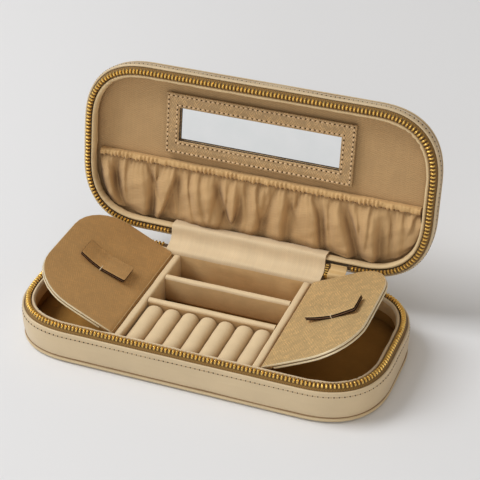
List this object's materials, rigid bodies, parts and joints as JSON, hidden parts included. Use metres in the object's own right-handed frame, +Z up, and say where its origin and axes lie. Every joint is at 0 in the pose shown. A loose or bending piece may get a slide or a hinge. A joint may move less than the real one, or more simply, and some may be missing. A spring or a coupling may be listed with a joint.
{
  "type": "travel jewelry case",
  "caption": "Zip-around leather travel jewelry case, open: padded compartments, ring rolls, lift-up side flaps with tabs, lid with framed mirror and gathered pocket.",
  "frame": {"origin": "centre of the flat bottom of the base", "axes": "+Z up, +X to the right along the long side, -Y towards the opening front; the lid is hinged along the back"},
  "size_m": [0.2054, 0.1257, 0.1194],
  "materials": {
    "champagne_leather": "smooth, slightly pearly",
    "edge_leather": "smooth",
    "grained_leather": "cross-hatched grain, gilt edges",
    "card_board": "stiff card, matt",
    "velvet": "short velvet pile",
    "cream_welt": "soft, matt",
    "cream_suede": "suede",
    "twill": "twill weave",
    "hinge_cloth": "twill weave",
    "zip_cloth": "woven tape",
    "brass": "antique gold",
    "mirror": "silvered"
  },
  "bodies": {
    "base": {"base_bottom": "champagne_leather", "base_piping": "edge_leather", "base_wall": "champagne_leather", "base_bottom_board": "card_board", "base_wall_board": "card_board", "base_floor_lining": "velvet", "base_wall_lining": "velvet", "base_collar": "cream_welt", "base_zip_tape": "zip_cloth", "base_zip_chain": "brass", "zip_slider": "brass", "slider_bridge": "brass", "zip_end_tab": "champagne_leather", "hinge_gusset": "hinge_cloth", "hinge_spine": "champagne_leather", "left_partition": "cream_suede", "right_partition": "cream_suede", "rear_divider": "cream_suede", "front_divider": "cream_suede", "ring_pad": "velvet", "ring_roll_1": "cream_suede", "ring_roll_2": "cream_suede", "ring_roll_3": "cream_suede", "ring_roll_4": "cream_suede", "ring_roll_5": "cream_suede", "ring_roll_6": "cream_suede", "ring_roll_7": "cream_suede"},
    "zip_pull": {"pull_link": "brass", "pull_strap": "edge_leather"},
    "left_flap_hinge_strip": {"left_flap_spine": "grained_leather"},
    "left_flap": {"left_flap_underside": "grained_leather", "left_flap_board": "card_board", "left_flap_top": "grained_leather", "left_tab_seam": "grained_leather"},
    "left_tab_outer_wing": {"left_tab_outer": "grained_leather"},
    "left_tab_inner_wing": {"left_tab_inner": "grained_leather"},
    "right_flap_hinge_strip": {"right_flap_spine": "grained_leather"},
    "right_flap": {"right_flap_underside": "grained_leather", "right_flap_board": "card_board", "right_flap_top": "grained_leather", "right_tab_seam": "grained_leather"},
    "right_tab_outer_wing": {"right_tab_outer": "grained_leather"},
    "right_tab_inner_wing": {"right_tab_inner": "grained_leather"},
    "lid": {"lid_top": "champagne_leather", "lid_piping": "edge_leather", "lid_wall": "champagne_leather", "lid_top_board": "card_board", "lid_wall_board": "card_board", "lid_ceiling_lining": "twill", "lid_wall_lining": "twill", "lid_collar": "cream_welt", "lid_zip_tape": "zip_cloth", "lid_zip_chain": "brass", "mirror_frame": "grained_leather", "mirror_glass": "mirror", "mirror_backing": "card_board", "pocket_panel": "twill", "pocket_band": "twill"}
  },
  "joints": [
    {"name": "lid_hinge", "type": "hinge", "parent": "base", "child": "lid", "pos_m": [0, 0.0497, 0.0231], "axis": [-1, 0, 0], "range_deg": [-99.6, 15], "deforming": ["hinge_gusset", "hinge_spine"]},
    {"name": "zip_pull_swing", "type": "hinge", "parent": "base", "child": "zip_pull", "pos_m": [0.0485, 0.0499, 0.0227], "axis": [1, 0, 0], "range_deg": [0, 40]},
    {"name": "left_flap_settle", "type": "hinge", "parent": "base", "child": "left_flap_hinge_strip", "pos_m": [-0.04065, 0, 0.019], "axis": [0, 1, 0], "range_deg": [-26.6, 4.1]},
    {"name": "left_flap_lift", "type": "hinge", "parent": "left_flap_hinge_strip", "child": "left_flap", "pos_m": [-0.04723, 0, 0.02362], "axis": [0, 1, 0], "range_deg": [0, 70]},
    {"name": "left_tab_outer_lift", "type": "hinge", "parent": "left_flap", "child": "left_tab_outer_wing", "pos_m": [-0.06379, 0, 0.03221], "axis": [0, 1, 0], "range_deg": [-5, 45]},
    {"name": "left_tab_inner_lift", "type": "hinge", "parent": "left_flap", "child": "left_tab_inner_wing", "pos_m": [-0.06379, 0, 0.03221], "axis": [0, -1, 0], "range_deg": [-5, 45]},
    {"name": "right_flap_settle", "type": "hinge", "parent": "base", "child": "right_flap_hinge_strip", "pos_m": [0.04065, 0, 0.019], "axis": [0, -1, 0], "range_deg": [-26.6, 4.1]},
    {"name": "right_flap_lift", "type": "hinge", "parent": "right_flap_hinge_strip", "child": "right_flap", "pos_m": [0.04723, 0, 0.02362], "axis": [0, -1, 0], "range_deg": [0, 70]},
    {"name": "right_tab_outer_lift", "type": "hinge", "parent": "right_flap", "child": "right_tab_outer_wing", "pos_m": [0.06701, 0, 0.03382], "axis": [0, -1, 0], "range_deg": [-5, 45]},
    {"name": "right_tab_inner_lift", "type": "hinge", "parent": "right_flap", "child": "right_tab_inner_wing", "pos_m": [0.06701, 0, 0.03382], "axis": [0, 1, 0], "range_deg": [-5, 45]}
  ],
  "couplings": [
    {"joint": "left_flap_settle", "follows": "lid_hinge", "ratio": 0.266},
    {"joint": "right_flap_settle", "follows": "lid_hinge", "ratio": 0.266}
  ]
}
